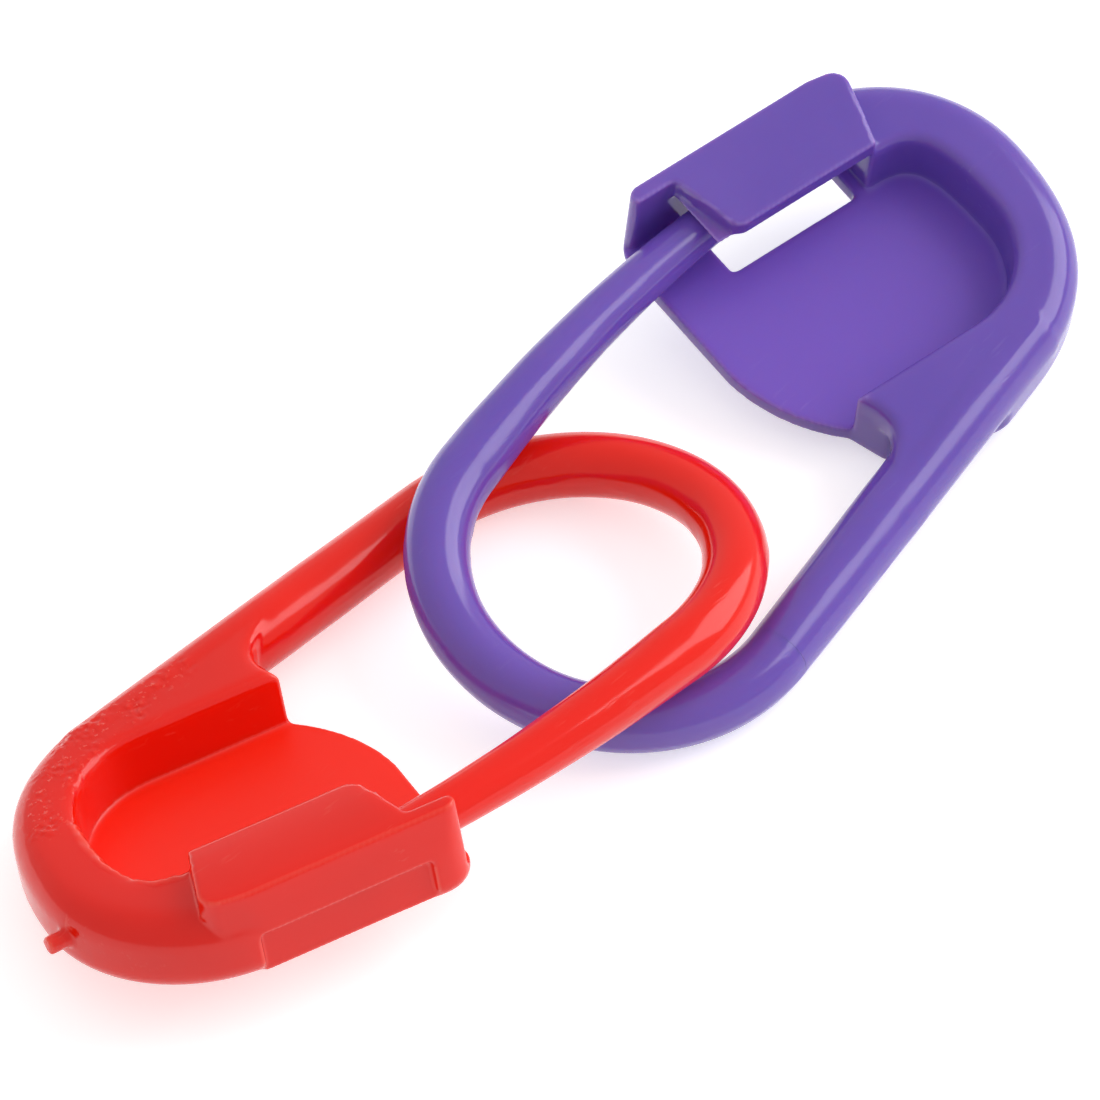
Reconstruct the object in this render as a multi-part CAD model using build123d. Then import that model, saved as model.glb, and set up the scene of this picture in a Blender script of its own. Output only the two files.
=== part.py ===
from build123d import *
from math import asin, cos, degrees, hypot, pi, radians, sin
import os

# Two locking stitch markers of one mould, closed and linked through each other's loops.
# Each marker is first built in its own frame: the origin is the centre of its bend, +X runs along
# the fixed leg towards the clasp head, +Y towards the free arm, +Z towards the open side of the head.

# Wire: fixed leg, bend and free arm
leg_diameter = 1.74
bend_diameter = 1.66
arm_tip_diameter = 1.04
leg_spacing = 9.26
leg_length = 5.10
arm_lead = 1.65
arm_tip_lead = 5.45
arm_taper_power = 1.3

# Clasp head: its own axis turns away from the fixed leg
head_turn = 18.6
head_offset = 11.61
head_shift = 0.99
pocket_radius = 2.71
pocket_length = 5.35
wall_length = 3.90
rim_width = 1.81
rim_drop = 0.05
floor_thickness = 0.48
floor_drop = 0.80
channel_width = 2.02
channel_end = 1.00
wall_thickness = 0.56
wall_lean = 0.10
cap_radius = 4.29
cap_start = 0.64
cap_lead = 3.10
cap_trail = 2.33
base_start = 2.05
base_lip = 0.36
scoop_bulge = 0.15
scoop_lead = 1.50
scoop_trail = 1.50
scoop_rise = 0.56
arm_lean = 15.0

# Cover over the tip of the arm
cover_height = 1.27
wall_height = 1.37
cover_crown = 0.10
cover_clearance = 0.74
cover_start = 3.40
cover_slant = 0.50
cover_end = 1.10
cover_end_slant = 0.70
cover_corner = 0.45
arm_gap = 0.20
arm_reach = 1.70

# Slot, recess, roundings and gate nub
slot_start = 3.34
slot_end = 0.66
slot_corner = 0.12
channel_corner = 0.40
recess_start = 4.15
recess_end = 0.50
recess_depth = 0.24
rim_rounding = 0.80
base_rounding = 0.62
inner_rounding = 0.30
mouth_corner = 0.90
mouth_tip_rounding = 0.18
block_rounding = 0.42
floor_corner = 3.00
floor_corner_set = 0.40
pocket_corner_lead = 2.00
pocket_corner_trail = 1.20
pocket_corner_end = 1.30
gate_root_diameter = 0.38
gate_diameter = 0.50
gate_length = 0.56
gate_drop = 0.20
gate_side = 2.18

# Overrun of the cutting solids and tolerance for finding an edge by its place
overrun = 1.00
closeness = 0.001
edge_shares = (0, 0.5, 1)

# Rest of the linked pair: the wires cross one over the other at two places
crossing_gap = 0.24
red_lever = 9.28
red_yaw = 176.7
red_pitch = -3.7
red_along = -0.80
red_aside = 0.10
purple_lever = 10.34
purple_yaw = 7.6
purple_pitch = -3.5
purple_along = 0.89
purple_aside = -0.78

leg_radius = leg_diameter / 2
bend_radius = bend_diameter / 2
loop_radius = leg_spacing / 2
rim_top = leg_radius - rim_drop
floor_top = -floor_drop
base_bottom = floor_top - floor_thickness
wall_inner = pocket_radius + channel_width
wall_outer = wall_inner + wall_thickness
block_side = (pocket_radius + wall_inner) / 2
cover_top = wall_height + cover_crown
leg_side = -(loop_radius + leg_radius)
leg_inside = -(loop_radius - leg_radius)


def at_head(u, v):
    """Turn a place measured along and across the head's own axis into the marker's plan."""
    turn = radians(-head_turn)
    x = head_offset + u * cos(turn) - v * sin(turn)
    y = -head_shift + u * sin(turn) + v * cos(turn)
    return (x, y)


head_axis = Vector(cos(radians(head_turn)), -sin(radians(head_turn)), 0)
head_across = Vector(sin(radians(head_turn)), cos(radians(head_turn)), 0)


def slab(edges, low, high):
    """A solid between two heights from the edges of its plan."""
    face = make_face(edges)
    return extrude(Pos(0, 0, low) * face, amount=high - low)


def cap_edges(start):
    """The outer side of the head: along the fixed leg, round the cap and back along the clasp."""
    cap_begin = (head_offset - cap_start, leg_side)
    cap_centre_u = pocket_radius + rim_width - cap_radius
    cap_centre_v = wall_outer - cap_radius
    cap_side = at_head(cap_centre_u + cap_radius, cap_centre_v)
    cap_top = at_head(cap_centre_u, wall_outer)
    cap_mid = at_head(
        cap_centre_u + cap_radius * cos(pi / 4),
        cap_centre_v + cap_radius * sin(pi / 4),
    )
    lead = (cap_begin[0] + cap_lead, leg_side)
    trail = at_head(cap_centre_u + cap_radius, cap_centre_v - cap_trail)
    corner_begin = at_head(-pocket_length + mouth_corner, wall_outer)
    corner_end = at_head(-pocket_length, wall_outer - mouth_corner)
    corner_mid = at_head(
        -pocket_length + mouth_corner * (1 - cos(pi / 4)),
        wall_outer - mouth_corner * (1 - sin(pi / 4)),
    )
    return [
        Line(start, cap_begin),
        Bezier(cap_begin, lead, trail, cap_side),
        ThreePointArc(cap_side, cap_mid, cap_top),
        Line(cap_top, corner_begin),
        ThreePointArc(corner_begin, corner_mid, corner_end),
    ]


def scoop_edges(start):
    """The hollow curve from the end of the low wall to the crest of the fixed leg."""
    wall_end = at_head(-wall_length, -pocket_radius)
    crest_width = (leg_radius**2 - rim_top**2) ** 0.5
    crest = (leg_length, -loop_radius + crest_width)
    lead = (wall_end[0] + scoop_bulge, wall_end[1] - scoop_lead)
    trail = (crest[0] + scoop_trail, crest[1] + scoop_rise)
    return [Bezier(wall_end, lead, trail, crest), Line(crest, start)]


def base_edges(start):
    """The slanting end of the lower half, which stops short under the fixed leg."""
    wall_end = at_head(-wall_length, -pocket_radius)
    foot = (wall_end[0], leg_inside + base_lip)
    return [Line(wall_end, foot), Line(foot, start)]


def head_outline(start, foot_edges):
    """The whole plan of the head, closed round the mouth end and the foot of the fixed leg."""
    edges = cap_edges(start)
    corner_end = at_head(-pocket_length, wall_outer - mouth_corner)
    floor_turn = at_head(-pocket_length, -pocket_radius + floor_corner)
    floor_turn_end = at_head(-wall_length, -pocket_radius)
    floor_turn_mid = at_head(
        -pocket_length + floor_corner_set,
        -pocket_radius + floor_corner / 2,
    )
    edges.append(Line(corner_end, floor_turn))
    edges.append(ThreePointArc(floor_turn, floor_turn_mid, floor_turn_end))
    return edges + foot_edges


def pocket_edges():
    """The pocket's plan: straight sides, a round end and a squarer corner beside the cover."""
    far = -pocket_length - overrun
    low_near = at_head(0, -pocket_radius)
    tip = at_head(pocket_radius, 0)
    round_mid = at_head(pocket_radius * cos(pi / 4), -pocket_radius * sin(pi / 4))
    corner_end = at_head(pocket_corner_end, pocket_radius)
    edges = [
        Line(at_head(far, -pocket_radius), low_near),
        ThreePointArc(low_near, round_mid, tip),
        Bezier(
            tip,
            at_head(pocket_radius, pocket_corner_lead),
            at_head(pocket_corner_end + pocket_corner_trail, pocket_radius),
            corner_end,
        ),
        Line(corner_end, at_head(far, pocket_radius)),
        Line(at_head(far, pocket_radius), at_head(far, -pocket_radius)),
    ]
    return edges


def head_box(u_low, u_high, v_low, v_high, low, high, corner=0):
    """A block lying along the head's axis, with upright edges rounded where a corner is given."""
    corners = [
        at_head(u_low, v_low),
        at_head(u_high, v_low),
        at_head(u_high, v_high),
        at_head(u_low, v_high),
    ]
    block = slab(Polyline(*corners, close=True).edges(), low, high)
    if corner:
        block = fillet(block.edges().filter_by(Axis.Z), corner)
    return block


def clasp_wall():
    """The wall beside the arm's tip and the crowned cover that reaches back over it."""
    section_plane = Plane(
        origin=Vector(*at_head(-pocket_length - overrun, 0), 0),
        x_dir=head_across,
        z_dir=head_axis,
    )
    crown_mid = (pocket_radius + wall_outer) / 2
    with BuildSketch(section_plane) as section:
        with BuildLine():
            Line((wall_inner, 0), (wall_outer, 0))
            Line((wall_outer, 0), (wall_outer - wall_lean, wall_height))
            ThreePointArc(
                (wall_outer - wall_lean, wall_height),
                (crown_mid, (cover_height + wall_height) / 2 + cover_crown),
                (pocket_radius, cover_height),
            )
            Line((pocket_radius, cover_height), (pocket_radius, cover_clearance))
            Line((pocket_radius, cover_clearance), (wall_inner, cover_clearance))
            Line((wall_inner, cover_clearance), (wall_inner, 0))
        make_face()
    bar = extrude(section.sketch, amount=pocket_length + cover_end + cover_end_slant + 2 * overrun)
    slant_begin = at_head(-cover_start - cover_slant, wall_inner)
    slant_end = at_head(-cover_start, pocket_radius)
    cap_u = cover_end + cover_end_slant
    cap_centre_u = pocket_radius + rim_width - cap_radius
    cap_centre_v = wall_outer - cap_radius
    cap_corner = at_head(cap_u, cap_centre_v + (cap_radius**2 - (cap_u - cap_centre_u) ** 2) ** 0.5)
    plan = Polyline(
        at_head(-pocket_length - overrun, wall_inner),
        slant_begin,
        slant_end,
        at_head(cover_end, pocket_radius),
        cap_corner,
        at_head(cap_centre_u, wall_outer),
        at_head(-pocket_length - overrun, wall_outer),
        close=True,
    )
    shape = slab(plan.edges(), 0, cover_top + overrun)
    rounded = [
        e
        for e in shape.edges().filter_by(Axis.Z)
        if min((e @ 0 - Vector(*p, (e @ 0).Z)).length for p in (slant_end, cap_corner)) < cover_corner
    ]
    return bar & fillet(rounded, cover_corner)


def level_edges(block, level):
    """The edges that lie flat at that level."""
    return ShapeList(
        [
            e
            for e in block.edges()
            if all(abs((e @ share).Z - level) < closeness for share in edge_shares)
        ]
    )


def curved_edges(block, level):
    """The free-form edges at that level by length: the longest runs round the head's outer side."""
    kinds = (GeomType.BEZIER, GeomType.BSPLINE)
    curved = [e for e in level_edges(block, level) if e.geom_type in kinds]
    return sorted(curved, key=lambda e: e.length)


def nearest_edge(edges, place):
    """The edge whose middle lies nearest to a place."""
    return min(edges, key=lambda e: (e @ edge_shares[1] - place).length)


def rounded_base(start):
    """The lower half of the head, rounded underneath along the leg, the cap and the clasp."""
    side_edges = cap_edges(start)[:3]
    cap_top = side_edges[-1] @ 1
    far_side = at_head(-pocket_length - overrun, wall_outer)
    far_foot = at_head(-pocket_length - overrun, -pocket_radius)
    side_edges.append(Line(cap_top, far_side))
    side_edges.append(Line(far_side, far_foot))
    side_edges.append(Line(far_foot, start))
    block = slab(side_edges, base_bottom, 0)
    return fillet(curved_edges(block, base_bottom)[-1:], base_rounding)


def mouth_block():
    """The lower corner beside the mouth, rounded in its plan and underneath."""
    block = head_box(-pocket_length, -recess_start, block_side, wall_outer, base_bottom, 0)
    corner = Vector(*at_head(-pocket_length, wall_outer), base_bottom / 2)
    block = fillet(nearest_edge(block.edges().filter_by(Axis.Z), corner), mouth_corner)
    outer_side = Vector(*at_head(-recess_start, wall_outer), base_bottom)
    under = nearest_edge(level_edges(block, base_bottom), outer_side)
    return fillet(under, block_rounding)


def lower_half():
    """The head below the parting plane, with the long recess outside the clasp."""
    begin = (head_offset - base_start, leg_side)
    plan = slab(head_outline(begin, base_edges(begin)), base_bottom, 0)
    lower = rounded_base(begin) & plan
    beyond = wall_outer + overrun
    under = base_bottom - overrun
    lower -= head_box(-pocket_length - overrun, recess_end, wall_inner, beyond, under, 0)
    lower -= head_box(-pocket_length - overrun, -recess_start, block_side, beyond, under, 0)
    lower += head_box(
        -recess_start, recess_end, wall_inner, wall_outer - recess_depth, base_bottom, 0
    )
    return lower + mouth_block()


def gate_nub():
    """The stub on the cap where the marker was broken off its runner."""
    cap_centre_u = pocket_radius + rim_width - cap_radius
    cap_centre_v = wall_outer - cap_radius
    gate_face = cap_centre_u + (cap_radius**2 - (gate_side - cap_centre_v) ** 2) ** 0.5
    root = at_head(gate_face - rim_width / 2, gate_side)
    tip = at_head(gate_face + gate_length, gate_side)
    return loft(
        [
            Plane(origin=(*root, -gate_drop), z_dir=head_axis) * Circle(gate_root_diameter / 2),
            Plane(origin=(*tip, -gate_drop), z_dir=head_axis) * Circle(gate_diameter / 2),
        ]
    )


def make_head(gated):
    """Clasp head: rounded rim, floor plate, wall, cover, slot, recess and gate nub."""
    leg_begin = (leg_length, leg_side)
    upper = slab(head_outline(leg_begin, scoop_edges(leg_begin)), 0, rim_top)
    upper = fillet(curved_edges(upper, rim_top)[-1:], rim_rounding)
    pocket = slab(pocket_edges(), -overrun, rim_top + overrun)
    hollowed = upper - pocket
    low_side = Vector(*at_head(-wall_length / 2, -pocket_radius), rim_top)
    inner = [nearest_edge(level_edges(hollowed, rim_top), low_side)]
    upper = fillet(inner + curved_edges(hollowed, rim_top)[:1], inner_rounding)
    bar = Cylinder(leg_radius, head_offset - leg_length, rotation=(0, 90, 0))
    bar = Pos((head_offset + leg_length) / 2, -loop_radius, 0) * bar
    bar += Pos(head_offset, -loop_radius, 0) * Sphere(leg_radius)
    body = upper + lower_half() + bar
    body -= slab(pocket_edges(), floor_top, rim_top + overrun)
    body -= head_box(
        -pocket_length - 2 * overrun,
        channel_end,
        0,
        wall_inner,
        floor_top,
        cover_clearance,
        channel_corner,
    )
    body -= head_box(
        -pocket_length - overrun, -cover_start - cover_slant, 0, wall_inner, floor_top, rim_top + overrun
    )
    shell = slab(head_outline(leg_begin, scoop_edges(leg_begin)), 0, cover_top + overrun)
    body += clasp_wall() & shell
    body -= head_box(
        -slot_start, slot_end, pocket_radius, wall_inner, base_bottom - overrun, 0, slot_corner
    )
    mouth_tip = Vector(*at_head(-pocket_length, wall_inner), (wall_height + floor_top) / 2)
    upright = body.edges().filter_by(Axis.Z)
    body = fillet(nearest_edge(upright, mouth_tip), mouth_tip_rounding)
    return body + gate_nub() if gated else body


def arm_path():
    """Centre line of the free arm, from the end of the bend to the tip under the cover."""
    tip = at_head(-arm_reach, wall_inner - arm_tip_diameter / 2 - arm_gap)
    lean = radians(arm_lean)
    trail = (tip[0] - arm_tip_lead * cos(lean), tip[1] + arm_tip_lead * sin(lean))
    return Bezier((0, loop_radius), (arm_lead, loop_radius), trail, tip)


def make_arm():
    """Free arm: round bars of falling size along its centre line, closed by a round tip."""
    path = arm_path()
    stations = 7
    sections = []
    tip_radius = arm_tip_diameter / 2
    for index in range(stations):
        share = index / (stations - 1)
        radius = bend_radius - (bend_radius - tip_radius) * share**arm_taper_power
        place = Plane(origin=path @ share, z_dir=path % share)
        sections.append(place * Circle(radius))
    bar = loft(sections)
    return bar + Pos(*(path @ 1)) * Sphere(tip_radius)


def make_loop():
    """Half-round bend between the two legs: the spring of the marker."""
    section = Plane.XZ * Pos(loop_radius, 0) * Circle(bend_radius)
    half = revolve(section, axis=Axis.Z, revolution_arc=180)
    return Rot(0, 0, 90) * half


def make_leg():
    """Fixed leg from the bend to the foot of the clasp head."""
    start = Plane(origin=(0, -loop_radius, 0), z_dir=(1, 0, 0)) * Circle(bend_radius)
    end = Plane(origin=(leg_length, -loop_radius, 0), z_dir=(1, 0, 0)) * Circle(leg_radius)
    return loft([start, end])


def resting(yaw, pitch, lever, along, aside):
    """Where a marker lies on the table: tilted so that its wire passes over the other one's."""
    roll = degrees(asin((bend_diameter + crossing_gap) / lever))
    lean_x = -sin(radians(pitch))
    lean_y = cos(radians(pitch)) * sin(radians(roll))
    height = bend_radius + loop_radius * hypot(lean_x, lean_y)
    return Pos(along, aside, height) * Rot(0, 0, yaw) * Rot(0, pitch, 0) * Rot(roll, 0, 0)


leg = make_leg()
loop = make_loop()
arm = make_arm()
markers = {
    "red": (resting(red_yaw, red_pitch, red_lever, red_along, red_aside), make_head(True)),
    "purple": (
        resting(purple_yaw, purple_pitch, purple_lever, purple_along, purple_aside),
        make_head(False),
    ),
}

os.makedirs("parts", exist_ok=True)
for colour, (place, head) in markers.items():
    pieces = {"clasp_head": head, "fixed_leg": leg, "spring_loop": loop, "arm": arm}
    for name, solid in pieces.items():
        export_step(place * solid, f"parts/{colour}_{name}.step")
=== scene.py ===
from math import asin, atan2, cos, hypot, pi, radians, sin

import bmesh
import bpy
import numpy as np
from mathutils import Matrix, Vector, noise
from mathutils.bvhtree import BVHTree


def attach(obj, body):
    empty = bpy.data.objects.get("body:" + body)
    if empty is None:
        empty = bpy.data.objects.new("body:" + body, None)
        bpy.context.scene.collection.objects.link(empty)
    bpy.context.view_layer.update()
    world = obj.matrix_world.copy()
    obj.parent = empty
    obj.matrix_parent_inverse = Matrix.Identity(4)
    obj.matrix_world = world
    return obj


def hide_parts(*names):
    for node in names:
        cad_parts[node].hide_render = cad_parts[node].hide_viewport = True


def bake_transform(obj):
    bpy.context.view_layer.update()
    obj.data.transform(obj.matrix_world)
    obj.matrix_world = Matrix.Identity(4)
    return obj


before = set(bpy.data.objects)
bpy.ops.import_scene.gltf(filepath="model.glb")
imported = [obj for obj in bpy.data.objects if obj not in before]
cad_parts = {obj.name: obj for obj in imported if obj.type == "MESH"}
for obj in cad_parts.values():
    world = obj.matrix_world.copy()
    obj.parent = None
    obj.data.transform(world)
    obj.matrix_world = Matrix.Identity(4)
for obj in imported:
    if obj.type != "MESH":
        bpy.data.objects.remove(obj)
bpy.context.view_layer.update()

MM = 0.001

# Sizes of one marker in millimetres, in its own frame: the origin is the centre of its bend, +X runs
# along the fixed leg to the head, +Y to the free arm, +Z to the open side of the head.
LEG_RADIUS = 0.87
BEND_RADIUS = 0.83
TIP_RADIUS = 0.52
LOOP_RADIUS = 4.63
LEG_LENGTH = 5.10
ARM_LEAD = 1.65
ARM_TIP_LEAD = 5.45
ARM_LEAN = 15.0
ARM_REACH = 1.70
ARM_TIP_SIDE = 4.01
ARM_TAPER_POWER = 1.3
HEAD_TURN = 18.6
HEAD_OFFSET = 11.61
HEAD_SHIFT = 0.99

# How each marker lies on the table: yaw, pitch, lever of the crossing wires and place
CROSSING_GAP = 0.24
RESTS = {
    "red": (176.7, -3.7, 9.28, (-0.80, 0.10)),
    "purple": (7.6, -3.5, 10.34, (0.89, -0.78)),
}

# Camera: place in millimetres, its right, up and forward directions, and its lens on a 36 mm sensor
CAMERA_PLACE = (-140.215, -136.942, 230.850)
CAMERA_RIGHT = (0.65787, -0.75151, -0.04935)
CAMERA_UP = (0.59286, 0.47635, 0.64932)
CAMERA_LENS = 396.4

# Moulding faults of the red head, along (u) and across (v) its own axis: the run of pits round the rim,
# the line of flash on the pocket's edge and the torn end of the gate
PITTED_RUN = ((-1.6, -4.3), (0.1, -3.7), (1.45, -3.1), (2.6, -2.3), (3.35, -1.6), (3.3, -0.9))
FLASH_RUN = ((2.82, -0.40), (2.90, 0.45), (2.80, 1.47), (2.49, 2.25), (2.05, 2.80), (1.40, 2.95))
PIT_REACH = 0.75
PIT_DEPTH = 0.06
FLASH_REACH = 0.15
FLASH_HEIGHT = 0.075
FLASH_DROP = 0.45
GATE_PLACE = (4.85, 2.18)
GATE_LEVEL = -0.2
GATE_REACH = 0.6
GATE_DEPTH = 0.03

# Levels on the head, and the run over which the leg's crest sinks into the rim
RIM_TOP = 0.82
FLOOR_TOP = -0.80
FLOOR_REACH = 0.3
CREST_RUN = 4.0

# The thin slit between the rim and the corner of the cover, which is filled
SLIT_AREA = ((0.7, 2.2), (3.9, 5.2))
SLIT_LIMIT = 0.85
SLIT_STEP = 0.06
SLIT_OVERLAP = 0.12
CORNER_BEADS = ((1.60, 4.62, 0.98), (1.60, 4.68, 0.93), (1.60, 4.72, 0.86))
BEAD_RADIUS = 0.13

# The round bar of the fixed leg that runs on inside the head and tapers off there
LEG_BAR_START = -0.6
LEG_BAR_STEP = 0.1
LEG_BAR_STEPS = 85
LEG_BAR_END = 7.8
LEG_BAR_TAPER = 2.2
LEG_SKIN_END = LEG_LENGTH - 0.4

# The mould's parting line along the wires, and their slight waviness
PARTING_WIDTH = 0.075
PARTING_HEIGHT = 0.026
WAVE_HEIGHT = 0.012

# How much painted glow each part gets, standing in for the light that comes through it: the pocket's
# floor is 1
WIRE_PAINTED_GLOW = 0.75
HEAD_PAINTED_GLOW = 0.25
PAINTED_GLOW_RUN = 2.0

# Mesh fineness in millimetres and steps
VOXEL = 0.055
SMOOTH_STEPS = 17
RING_STEPS = 56
PATH_STEPS = 230
TIP_STEPS = 9


def resting(colour):
    """The matrix, in millimetres, from a marker's own frame to where it lies on the table."""
    yaw, pitch, lever, place = RESTS[colour]
    roll = asin((2 * BEND_RADIUS + CROSSING_GAP) / lever)
    lean_x = -sin(radians(pitch))
    lean_y = cos(radians(pitch)) * sin(roll)
    height = BEND_RADIUS + LOOP_RADIUS * hypot(lean_x, lean_y)
    turn = Matrix.Rotation(radians(yaw), 4, "Z")
    turn = turn @ Matrix.Rotation(radians(pitch), 4, "Y") @ Matrix.Rotation(roll, 4, "X")
    return Matrix.Translation((*place, height)) @ turn


def at_head(u, v):
    """A place along and across the head's own axis, in the marker's plan."""
    turn = radians(-HEAD_TURN)
    x = HEAD_OFFSET + u * cos(turn) - v * sin(turn)
    y = -HEAD_SHIFT + u * sin(turn) + v * cos(turn)
    return Vector((x, y, 0.0))


def bezier_point(points, t):
    """A place on a curve with four control points."""
    a, b, c, d = points
    s = 1.0 - t
    return a * s**3 + b * (3 * s * s * t) + c * (3 * s * t * t) + d * t**3


def wire_path():
    """Centre line and radius of the bend and the free arm, from the leg round to the tip."""
    path = []
    half = PATH_STEPS // 2
    for i in range(half):
        angle = -pi / 2 - pi * i / half
        path.append((Vector((LOOP_RADIUS * cos(angle), LOOP_RADIUS * sin(angle), 0.0)), BEND_RADIUS))
    tip = at_head(-ARM_REACH, ARM_TIP_SIDE)
    lean = radians(ARM_LEAN)
    points = (
        Vector((0.0, LOOP_RADIUS, 0.0)),
        Vector((ARM_LEAD, LOOP_RADIUS, 0.0)),
        tip - ARM_TIP_LEAD * Vector((cos(lean), -sin(lean), 0.0)),
        tip,
    )
    for i in range(half + 1):
        share = i / half
        radius = BEND_RADIUS - (BEND_RADIUS - TIP_RADIUS) * share**ARM_TAPER_POWER
        path.append((bezier_point(points, share), radius))
    return path


def new_object(name, data):
    """An object in the scene for a mesh, lamp or camera."""
    obj = bpy.data.objects.new(name, data)
    bpy.context.scene.collection.objects.link(obj)
    return obj


def wire_skin(place, along, side, up, radius, angle):
    """A point on the wire's skin, with the faint ridge that the mould's parting line leaves."""
    ridge = max(0.0, 1.0 - abs(sin(angle)) / PARTING_WIDTH)
    rough = 0.5 + 0.9 * noise.noise(place * 2.3 + Vector((0.0, 0.0, cos(angle) * 7)))
    wave = WAVE_HEIGHT * noise.noise(place * 0.55 + Vector((cos(angle), sin(angle), 3.1)))
    reach = radius + wave + PARTING_HEIGHT * ridge * max(0.15, rough)
    return place + side * (reach * cos(angle)) + up * (reach * sin(angle))


def tube_mesh(name, path, round_tip=True):
    """A closed bar along a path of (place, radius) pairs."""
    bm = bmesh.new()
    up = Vector((0, 0, 1))
    places = [p for p, _ in path]
    rings = []
    rows = []
    for i, (place, radius) in enumerate(path):
        before = places[max(0, i - 1)]
        after = places[min(len(places) - 1, i + 1)]
        rows.append((place, (after - before).normalized(), radius))
    if round_tip:
        place, along, radius = rows[-1]
        for k in range(1, TIP_STEPS):
            swing = k / TIP_STEPS * pi / 2
            rows.append((place + along * radius * sin(swing), along, radius * cos(swing)))
    for place, along, radius in rows:
        side = up.cross(along).normalized()
        ring = []
        for j in range(RING_STEPS):
            angle = 2 * pi * j / RING_STEPS
            ring.append(bm.verts.new(wire_skin(place, along, side, up, radius, angle)))
        rings.append(ring)
    for a, b in zip(rings, rings[1:]):
        for j in range(RING_STEPS):
            k = (j + 1) % RING_STEPS
            bm.faces.new((a[j], a[k], b[k], b[j]))
    start_cap = bm.faces.new(list(reversed(rings[0])))
    bm.faces.new(rings[-1])
    for edge in start_cap.edges:
        edge.smooth = False
    bmesh.ops.recalc_face_normals(bm, faces=bm.faces)
    mesh = bpy.data.meshes.new(name)
    bm.to_mesh(mesh)
    bm.free()
    for face in mesh.polygons:
        face.use_smooth = True
    return mesh


def cad_solid(colour, node):
    """A copy of a CAD node's mesh, turned back into the marker's own frame, in millimetres."""
    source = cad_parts[f"{colour}_{node}"]
    mesh = source.data.copy()
    mesh.materials.clear()
    mesh.transform(resting(colour).inverted() @ Matrix.Scale(1 / MM, 4))
    return mesh


def leg_axis(x):
    """Centre and radius of the fixed leg at x."""
    share = min(max(x / LEG_LENGTH, 0.0), 1.0)
    return Vector((x, -LOOP_RADIUS, 0.0)), BEND_RADIUS + (LEG_RADIUS - BEND_RADIUS) * share


def run_distance(points, run):
    """How far each point lies from a row of places on the head, seen from above."""
    best = np.full(len(points), 1e9)
    places = [np.array(at_head(u, v)[:2]) for u, v in run]
    for a, b in zip(places, places[1:]):
        along = b - a
        share = np.clip(((points[:, :2] - a) @ along) / (along @ along), 0.0, 1.0)
        near = a + share[:, None] * along
        best = np.minimum(best, np.linalg.norm(points[:, :2] - near, axis=1))
    return best


def fade_out(distance, reach):
    """1 on the line, 0 at the reach and beyond."""
    return np.clip(1.0 - distance / reach, 0.0, 1.0)


def mesh_points(mesh):
    """The places of all vertices."""
    flat = np.empty(len(mesh.vertices) * 3)
    mesh.vertices.foreach_get("co", flat)
    return flat.reshape(-1, 3)


def mesh_normals(mesh):
    """The outward directions at all vertices."""
    flat = np.empty(len(mesh.vertices) * 3)
    mesh.vertex_normals.foreach_get("vector", flat)
    return flat.reshape(-1, 3)


def mark(mesh, name, values):
    """Store a value for each vertex, for the material to read."""
    layer = mesh.attributes.new(name, "FLOAT", "POINT")
    layer.data.foreach_set("value", np.asarray(values, dtype=np.float32))


def bend_of_skin(mesh):
    """How sharply the skin bends at each vertex, per millimetre: edges are positive, hollows negative."""
    points = mesh_points(mesh)
    normals = mesh_normals(mesh)
    ends = np.empty(len(mesh.edges) * 2, dtype=np.int64)
    mesh.edges.foreach_get("vertices", ends)
    a, b = ends.reshape(-1, 2).T
    way = points[b] - points[a]
    length2 = np.maximum((way * way).sum(axis=1), 1e-9)
    bend = ((normals[b] - normals[a]) * way).sum(axis=1) / length2
    total = np.zeros(len(points))
    count = np.zeros(len(points))
    for end in (a, b):
        np.add.at(total, end, bend)
        np.add.at(count, end, 1.0)
    return total / np.maximum(count, 1.0)


def floor_share(mesh):
    """1 on the upper side of the pocket's thin floor, 0 elsewhere."""
    upward = np.clip((mesh_normals(mesh)[:, 2] - 0.5) * 3.0, 0.0, 1.0)
    return upward * fade_out(np.abs(mesh_points(mesh)[:, 2] - FLOOR_TOP), FLOOR_REACH)


def add_red_faults(mesh):
    """Pits in the red head's rim, flash on its pocket's edge and a torn gate, as real relief."""
    points = mesh_points(mesh)
    normals = mesh_normals(mesh)
    level = points[:, 2]
    pitted = fade_out(run_distance(points, PITTED_RUN), PIT_REACH) * (level > 0.1)
    flash = fade_out(run_distance(points, FLASH_RUN), FLASH_REACH) * (level > RIM_TOP - FLASH_DROP)
    stub = np.array((*at_head(*GATE_PLACE)[:2], GATE_LEVEL))
    torn = fade_out(np.linalg.norm(points - stub, axis=1), GATE_REACH)
    for i in np.nonzero((pitted > 0.02) | (flash > 0.02) | (torn > 0.02))[0]:
        place = Vector(points[i])
        lump = noise.noise(place * 7.5) + 0.7 * noise.noise(place * 14.0 + Vector((3, 1, 4)))
        patchy = max(0.0, noise.noise(place * 1.3 + Vector((9, 2, 5))) + 0.12) * 1.9
        out = PIT_DEPTH * lump * pitted[i] ** 0.5 * patchy
        rough = 0.55 + 0.8 * noise.noise(place * 4.0 + Vector((1, 7, 3)))
        out += FLASH_HEIGHT * flash[i] ** 0.5 * max(0.1, rough)
        out += GATE_DEPTH * torn[i] * noise.noise(place * 3.1 + Vector((2, 2, 8)))
        points[i] += normals[i] * out
    mesh.vertices.foreach_set("co", points.ravel())
    mesh.update()
    # The flash mask also carries a painted highlight along the flash
    mark(mesh, "flash", flash)
    mark(mesh, "pitted", pitted)


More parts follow.
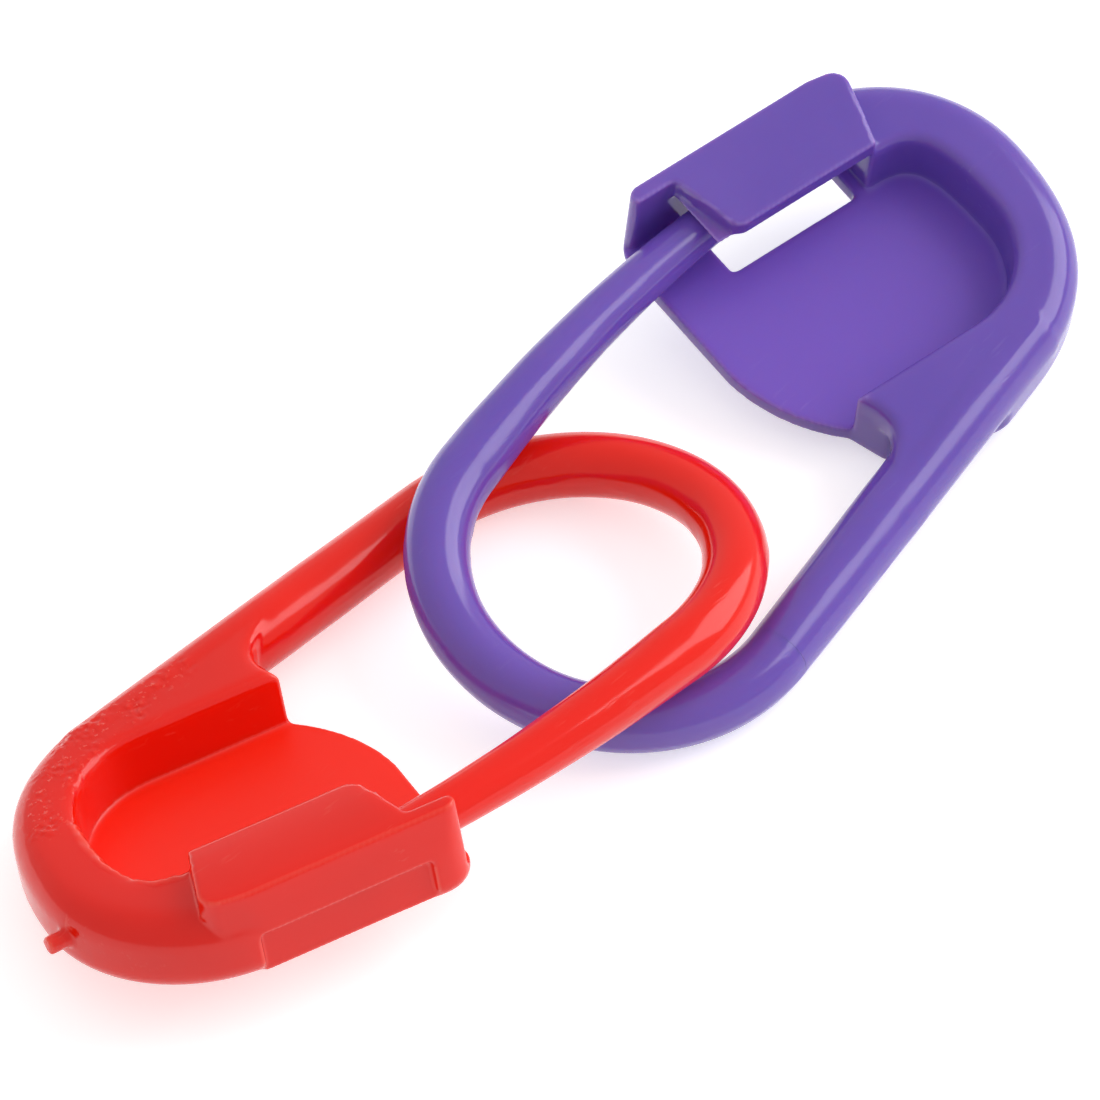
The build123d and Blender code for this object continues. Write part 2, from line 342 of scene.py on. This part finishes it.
def close_slit(bm, solid):
    """Small prisms and beads in the thin slit between the rim and the corner of the cover."""
    tree = BVHTree.FromPolygons([v.co for v in solid.vertices], [p.vertices for p in solid.polygons])
    (u_start, u_end), (v_start, v_end) = SLIT_AREA
    turn = Matrix.Rotation(radians(-HEAD_TURN), 4, "Z")
    for i in range(int((u_end - u_start) / SLIT_STEP)):
        for j in range(int((v_end - v_start) / SLIT_STEP)):
            spot = at_head(u_start + i * SLIT_STEP, v_start + j * SLIT_STEP)
            heights = []
            spot.z = 3.0
            for _ in range(4):
                hit = tree.ray_cast(spot, Vector((0, 0, -1)))[0]
                if hit is None:
                    break
                heights.append(hit.z)
                spot.z = hit.z - 0.0005
            if len(heights) < 4 or heights[1] - heights[2] > SLIT_LIMIT:
                continue
            spot.z = (heights[1] + heights[2]) / 2
            size = (SLIT_STEP * 1.2, SLIT_STEP * 1.2, heights[1] - heights[2] + SLIT_OVERLAP, 1)
            bmesh.ops.create_cube(bm, matrix=Matrix.Translation(spot) @ turn @ Matrix.Diagonal(size))
    for u, v, z in CORNER_BEADS:
        spot = Matrix.Translation(at_head(u, v) + Vector((0, 0, z)))
        bmesh.ops.create_icosphere(bm, subdivisions=2, radius=BEAD_RADIUS, matrix=spot)


def leg_core():
    """The fixed leg as a closed bar that runs on into the head."""
    path = []
    for i in range(LEG_BAR_STEPS):
        centre, radius = leg_axis(LEG_BAR_START + LEG_BAR_STEP * i)
        left = min(max((LEG_BAR_END - centre.x) / LEG_BAR_TAPER, 0.0), 1.0)
        path.append((centre, radius * (0.5 + 0.5 * left)))
    return tube_mesh("leg_core", path, round_tip=False)


def softened(mesh):
    """One skin round all that the mesh holds, with its edges smoothed."""
    core = new_object("head_core", mesh)
    remesh = core.modifiers.new("remesh", "REMESH")
    remesh.mode = "VOXEL"
    remesh.voxel_size = VOXEL
    remesh.adaptivity = 0.0
    soften = core.modifiers.new("soften", "SMOOTH")
    soften.factor = 0.5
    soften.iterations = SMOOTH_STEPS
    bpy.context.view_layer.update()
    shaped = bpy.data.meshes.new_from_object(
        core.evaluated_get(bpy.context.evaluated_depsgraph_get())
    )
    bpy.data.objects.remove(core)
    return shaped


def cut_at_bend(bm):
    """End the leg where the bend begins, with a flat cap."""
    bmesh.ops.bisect_plane(
        bm,
        geom=bm.verts[:] + bm.edges[:] + bm.faces[:],
        plane_co=(0, 0, 0),
        plane_no=(1, 0, 0),
        clear_inner=True,
    )
    rim = [e for e in bm.edges if e.is_boundary]
    bmesh.ops.holes_fill(bm, edges=rim, sides=0)
    for edge in rim:
        edge.smooth = False


def wrap_leg(bm):
    """Lay the leg's skin on the same round as the wire's, so that both run on into each other."""
    up = Vector((0, 0, 1))
    side = Vector((0, -1, 0))
    for vert in bm.verts:
        x, y, z = vert.co
        if x > LEG_SKIN_END or y > 0:
            continue
        centre, radius = leg_axis(x)
        spoke = Vector((0, y + LOOP_RADIUS, z))
        if spoke.length < radius * 0.8:
            continue
        angle = atan2(spoke.dot(up), spoke.dot(side))
        skin = wire_skin(centre, Vector((1, 0, 0)), side, up, radius, angle)
        fade = min(max((LEG_SKIN_END - x) / 1.0, 0.0), 1.0)
        vert.co = vert.co.lerp(skin, fade)


def settle_crest(bm):
    """Let the leg's crest sink into the flat top of the rim."""
    for vert in bm.verts:
        x, y, z = vert.co
        if z > RIM_TOP and x > HEAD_OFFSET - CREST_RUN and y < -LOOP_RADIUS / 2:
            left = min(max((HEAD_OFFSET + LEG_RADIUS - x) / CREST_RUN, 0.0), 1.0)
            vert.co.z = RIM_TOP + (z - RIM_TOP) * left


def head_mesh(colour):
    """Clasp head and fixed leg as one moulding with softened edges."""
    solid = cad_solid(colour, "clasp_head")
    bm = bmesh.new()
    bm.from_mesh(solid)
    bm.from_mesh(leg_core())
    close_slit(bm, solid)
    joined = bpy.data.meshes.new("head_core")
    bm.to_mesh(joined)
    bm.free()
    shaped = softened(joined)
    bm = bmesh.new()
    bm.from_mesh(shaped)
    cut_at_bend(bm)
    wrap_leg(bm)
    settle_crest(bm)
    bm.to_mesh(shaped)
    bm.free()
    for face in shaped.polygons:
        face.use_smooth = True
    floor = floor_share(shaped)
    mark(shaped, "floor", floor)
    # Painted glow share: full on the pocket's floor, high along the leg, low on the rest of the head
    on_leg = fade_out(mesh_points(shaped)[:, 0] - LEG_LENGTH, PAINTED_GLOW_RUN)
    mark(shaped, "thin", np.maximum(np.maximum(floor, WIRE_PAINTED_GLOW * on_leg), HEAD_PAINTED_GLOW))
    if colour == "red":
        add_red_faults(shaped)
    on_head = mesh_points(shaped)[:, 0] > LEG_LENGTH
    # The skin's bend drives the painted highlights on edges and in hollows
    mark(shaped, "edge", bend_of_skin(shaped) * on_head)
    return shaped


def put(name, mesh, colour):
    """A finished piece in the row frame, in metres."""
    obj = new_object(name, mesh)
    mesh.transform(Matrix.Scale(MM, 4) @ resting(colour))
    return obj


# Material effects


def new_node(tree, kind, values=None, **settings):
    """A node with its settings, then the values of its named inputs."""
    node = tree.nodes.new(kind)
    for name, value in settings.items():
        setattr(node, name, value)
    for name, value in (values or {}).items():
        node.inputs[name].default_value = value
    return node


def stored(tree, name):
    """A value that the mesh holds for each vertex."""
    return new_node(tree, "ShaderNodeAttribute", attribute_name=name).outputs["Fac"]


def cloudy(tree, vector, scale, detail):
    """Noise over the surface."""
    node = new_node(tree, "ShaderNodeTexNoise", {"Scale": scale, "Detail": detail})
    tree.links.new(vector, node.inputs["Vector"])
    return node.outputs["Fac"]


def ramp(tree, value, low, high, start=0.0, end=1.0):
    """The value spread from low..high to start..end, and held there."""
    ends = {"From Min": low, "From Max": high, "To Min": start, "To Max": end}
    node = new_node(tree, "ShaderNodeMapRange", ends)
    tree.links.new(value, node.inputs["Value"])
    return node.outputs["Result"]


def sum_up(tree, operation, *terms):
    """One step of arithmetic; each term is a number or another node's output."""
    node = new_node(tree, "ShaderNodeMath", operation=operation)
    for socket, term in zip(node.inputs, terms):
        if isinstance(term, float):
            socket.default_value = term
        else:
            tree.links.new(term, socket)
    return node.outputs["Value"]


def blended(tree, share, first, second):
    """A colour between two others."""
    node = new_node(tree, "ShaderNodeMix", data_type="RGBA")
    tree.links.new(share, node.inputs["Factor"])
    tree.links.new(first, node.inputs["A"])
    tree.links.new(second, node.inputs["B"])
    return node.outputs["Result"]


SURFACE_INPUTS = (
    ("Color", "NodeSocketColor", (0.8, 0.1, 0.1, 1)),
    ("Deep Color", "NodeSocketColor", (0.5, 0.05, 0.05, 1)),
    ("Scuff And Highlight Color", "NodeSocketColor", (0.9, 0.5, 0.5, 1)),
    ("Lit Floor Color", "NodeSocketColor", (0.8, 0.1, 0.1, 1)),
    ("Scuff Amount", "NodeSocketFloat", 0.3),
    ("Edge Highlight Amount", "NodeSocketFloat", 0.3),
    ("Hollow Highlight Amount", "NodeSocketFloat", 0.5),
    ("Roughness", "NodeSocketFloat", 0.25),
)
SURFACE_OUTPUTS = (
    ("Color", "NodeSocketColor"),
    ("Roughness", "NodeSocketFloat"),
    ("Height", "NodeSocketFloat"),
    ("Painted Glow Color", "NodeSocketColor"),
)


def moulded_surface():
    """Node group: colour drift, painted highlights on edges, painted glints, painted glow, pits, scuffs
    and soft waves of moulded plastic.
    """
    group = bpy.data.node_groups.new("moulded_surface", "ShaderNodeTree")
    for name, kind, value in SURFACE_INPUTS:
        socket = group.interface.new_socket(name=name, in_out="INPUT", socket_type=kind)
        socket.default_value = value
    for name, kind in SURFACE_OUTPUTS:
        group.interface.new_socket(name=name, in_out="OUTPUT", socket_type=kind)
    given = group.nodes.new("NodeGroupInput").outputs
    result = group.nodes.new("NodeGroupOutput").inputs
    links = group.links
    where = group.nodes.new("ShaderNodeTexCoord").outputs["Object"]
    bend = stored(group, "edge")
    floor = stored(group, "floor")

    # Painted highlights: light lines on edges, in hollows and on the flash
    crest = ramp(group, bend, 1.6, 6.4)
    hollow_highlight = sum_up(group, "MULTIPLY", ramp(group, bend, -2.5, -7.0), given["Hollow Highlight Amount"])
    painted_highlight = sum_up(group, "MAXIMUM", crest, hollow_highlight)
    painted_highlight = sum_up(group, "MAXIMUM", painted_highlight, stored(group, "flash"))
    painted_highlight = sum_up(group, "MULTIPLY", painted_highlight, given["Edge Highlight Amount"])

    # Short scratches in patches, and flecks among the pits, which carry painted glints
    stretch = new_node(
        group, "ShaderNodeMapping", {"Scale": (900, 6500, 6500), "Rotation": (0.2, 0.1, 0.6)}
    )
    links.new(where, stretch.inputs["Vector"])
    scratch = ramp(group, cloudy(group, stretch.outputs["Vector"], 1.0, 4), 0.60, 0.72)
    patch = ramp(group, cloudy(group, where, 420, 2), 0.56, 0.70)
    marks = sum_up(group, "MULTIPLY", patch, scratch)
    scuff = sum_up(group, "MULTIPLY", marks, given["Scuff Amount"])
    painted_glint_fleck = ramp(group, cloudy(group, where, 6500, 2), 0.60, 0.70)
    painted_glint_fleck = sum_up(group, "MULTIPLY", painted_glint_fleck, stored(group, "pitted"))

    # Colour, and a painted glow that stands in for the light that comes through thin parts
    drift = ramp(group, cloudy(group, where, 160, 3), 0.35, 0.75)
    tone = blended(group, drift, given["Color"], given["Deep Color"])
    # Painted light: the pocket's floor takes a lighter copy of the plastic's colour
    tone = blended(group, floor, tone, given["Lit Floor Color"])
    # The scuffs are real wear; the flecks among the pits are painted glints
    scuff_and_glint = sum_up(group, "MULTIPLY_ADD", painted_glint_fleck, 0.55, scuff)
    tone = blended(group, scuff_and_glint, tone, given["Scuff And Highlight Color"])
    links.new(blended(group, painted_highlight, tone, given["Scuff And Highlight Color"]), result["Color"])
    glow = new_node(group, "ShaderNodeMix", {"A": (0, 0, 0, 1)}, data_type="RGBA")
    links.new(stored(group, "thin"), glow.inputs["Factor"])
    links.new(given["Lit Floor Color"], glow.inputs["B"])
    links.new(glow.outputs["Result"], result["Painted Glow Color"])

    # Roughness: hazy, duller on scratches and on the pocket's floor
    haze = ramp(group, cloudy(group, where, 900, 3), 0.0, 1.0, -0.03, 0.05)
    rough = sum_up(group, "ADD", given["Roughness"], haze)
    rough = sum_up(group, "MULTIPLY_ADD", scuff, 0.35, rough)
    rough = sum_up(group, "MULTIPLY_ADD", floor, 0.34, rough)
    links.new(rough, result["Roughness"])

    # Relief: fine pits in the scuffed patches, soft waves, scratches and flecks
    pits = new_node(group, "ShaderNodeTexVoronoi", {"Scale": 1500})
    links.new(where, pits.inputs["Vector"])
    pit = sum_up(group, "SUBTRACT", ramp(group, pits.outputs["Distance"], 0.04, 0.22), 1.0)
    pit = sum_up(group, "MULTIPLY_ADD", pit, patch, 0.0)
    height = sum_up(group, "MULTIPLY_ADD", cloudy(group, where, 700, 2), 0.6, pit)
    height = sum_up(group, "MULTIPLY_ADD", marks, -0.5, height)
    links.new(sum_up(group, "MULTIPLY_ADD", painted_glint_fleck, 1.5, height), result["Height"])
    return group


def plastic(name, surface, finish, glow, shine):
    """Glossy, slightly translucent moulded plastic."""
    material = bpy.data.materials.new(name)
    material.use_nodes = True
    tree = material.node_tree
    shader = tree.nodes["Principled BSDF"]
    effect = new_node(tree, "ShaderNodeGroup", finish, node_tree=surface)
    bump = new_node(tree, "ShaderNodeBump", {"Strength": 0.35, "Distance": 0.00002})
    tree.links.new(effect.outputs["Height"], bump.inputs["Height"])
    tree.links.new(effect.outputs["Color"], shader.inputs["Base Color"])
    tree.links.new(effect.outputs["Roughness"], shader.inputs["Roughness"])
    tree.links.new(bump.outputs["Normal"], shader.inputs["Normal"])
    # Painted glow: emission in the floor colour, scaled by each vertex's glow share
    tree.links.new(effect.outputs["Painted Glow Color"], shader.inputs["Emission Color"])
    shader.inputs["Emission Strength"].default_value = glow
    shader.inputs["IOR"].default_value = 1.49
    shader.inputs["Specular IOR Level"].default_value = shine
    shader.inputs["Subsurface Weight"].default_value = 0.7
    shader.inputs["Subsurface Radius"].default_value = (1.0, 0.35, 0.30)
    shader.inputs["Subsurface Scale"].default_value = 0.0009
    return material


# Finishes: the edge and hollow amounts set painted highlights, the scuff colour also paints highlights
# and glints, and the floor colour is a painted lit floor
RED_FINISH = {
    "Color": (0.84, 0.011, 0.002, 1),
    "Deep Color": (0.77, 0.009, 0.002, 1),
    "Scuff And Highlight Color": (0.94, 0.16, 0.11, 1),
    "Lit Floor Color": (0.92, 0.015, 0.002, 1),
    "Scuff Amount": 0.22,
    "Edge Highlight Amount": 0.40,
    "Hollow Highlight Amount": 0.8,
    "Roughness": 0.12,
}
PURPLE_FINISH = {
    "Color": (0.172, 0.092, 0.485, 1),
    "Deep Color": (0.145, 0.075, 0.455, 1),
    "Scuff And Highlight Color": (0.42, 0.32, 0.72, 1),
    "Lit Floor Color": (0.185, 0.080, 0.540, 1),
    "Scuff Amount": 0.10,
    "Edge Highlight Amount": 0.32,
    "Hollow Highlight Amount": 0.0,
    "Roughness": 0.14,
}
moulded = moulded_surface()
# glow sets the strength of each plastic's painted glow
PLASTICS = {
    "red": plastic("red_plastic", moulded, RED_FINISH, glow=0.13, shine=0.42),
    "purple": plastic("purple_plastic", moulded, PURPLE_FINISH, glow=0.05, shine=0.58),
}

for colour in ("red", "purple"):
    body = f"{colour}_marker"
    head = put(f"{colour}_head_moulding", head_mesh(colour), colour)
    head.data.materials.append(PLASTICS[colour])
    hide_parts(f"{colour}_clasp_head", f"{colour}_fixed_leg")
    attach(head, body)
    wire = put(f"{colour}_sprung_wire", tube_mesh(f"{colour}_wire", wire_path()), colour)
    wire.data.materials.append(PLASTICS[colour])
    # Painted glow share of the whole wire
    mark(wire.data, "thin", np.full(len(wire.data.vertices), WIRE_PAINTED_GLOW))
    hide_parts(f"{colour}_spring_loop", f"{colour}_arm")
    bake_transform(wire)


# Floor, camera and lights


def table_top():
    """A plain pale table that shows white to the camera and keeps the markers' shadow."""
    mesh = bpy.data.meshes.new("table_top")
    reach = 0.6
    corners = [(-reach, -reach, 0), (reach, -reach, 0), (reach, reach, 0), (-reach, reach, 0)]
    mesh.from_pydata(corners, [], [(0, 1, 2, 3)])
    floor = new_object("table_top", mesh)
    material = bpy.data.materials.new("white_table")
    material.use_nodes = True
    tree = material.node_tree
    shader = tree.nodes["Principled BSDF"]
    shader.inputs["Base Color"].default_value = (0.93, 0.93, 0.93, 1)
    shader.inputs["Roughness"].default_value = 0.9
    shader.inputs["Specular IOR Level"].default_value = 0.1
    shader.inputs["Emission Color"].default_value = (1, 1, 1, 1)
    path = tree.nodes.new("ShaderNodeLightPath").outputs
    seen = sum_up(tree, "MAXIMUM", path["Is Camera Ray"], path["Is Glossy Ray"])
    seen = sum_up(tree, "MAXIMUM", seen, path["Is Transmission Ray"])
    glow = sum_up(tree, "MULTIPLY", seen, 0.52)
    tree.links.new(glow, shader.inputs["Emission Strength"])
    floor.data.materials.append(material)


def softbox(name, place, aim, width, height, power):
    """A large soft lamp turned to the markers."""
    lamp = bpy.data.lights.new(name, "AREA")
    lamp.shape = "RECTANGLE"
    lamp.size = width
    lamp.size_y = height
    lamp.energy = power
    obj = new_object(name, lamp)
    obj.location = place
    obj.rotation_euler = (Vector(aim) - Vector(place)).to_track_quat("-Z", "Y").to_euler()


def studio_camera():
    """The camera where the photo was taken from."""
    data = bpy.data.cameras.new("camera")
    data.sensor_width = 36
    data.lens = CAMERA_LENS
    data.clip_start = 0.01
    obj = new_object("camera", data)
    right = Vector(CAMERA_RIGHT).normalized()
    back = right.cross(Vector(CAMERA_UP)).normalized()
    up = back.cross(right)
    turn = Matrix((right, up, back)).transposed().to_4x4()
    obj.matrix_world = Matrix.Translation(Vector(CAMERA_PLACE) * MM) @ turn
    bpy.context.scene.camera = obj


def studio_world():
    """Even white light all round, seen by the camera as plain white."""
    world = bpy.data.worlds.new("studio")
    world.use_nodes = True
    bpy.context.scene.world = world
    tree = world.node_tree
    back = tree.nodes["Background"]
    back.inputs["Color"].default_value = (1, 1, 1, 1)
    path = tree.nodes.new("ShaderNodeLightPath").outputs
    level = ramp(tree, path["Is Camera Ray"], 0.0, 1.0, 0.67, 1.0)
    tree.links.new(level, back.inputs["Strength"])


table_top()
studio_camera()
studio_world()
softbox("window", (0.50, -0.24, 0.37), (0, 0, 0), 0.54, 0.50, 2.45)

bpy.context.scene.view_settings.view_transform = "Standard"
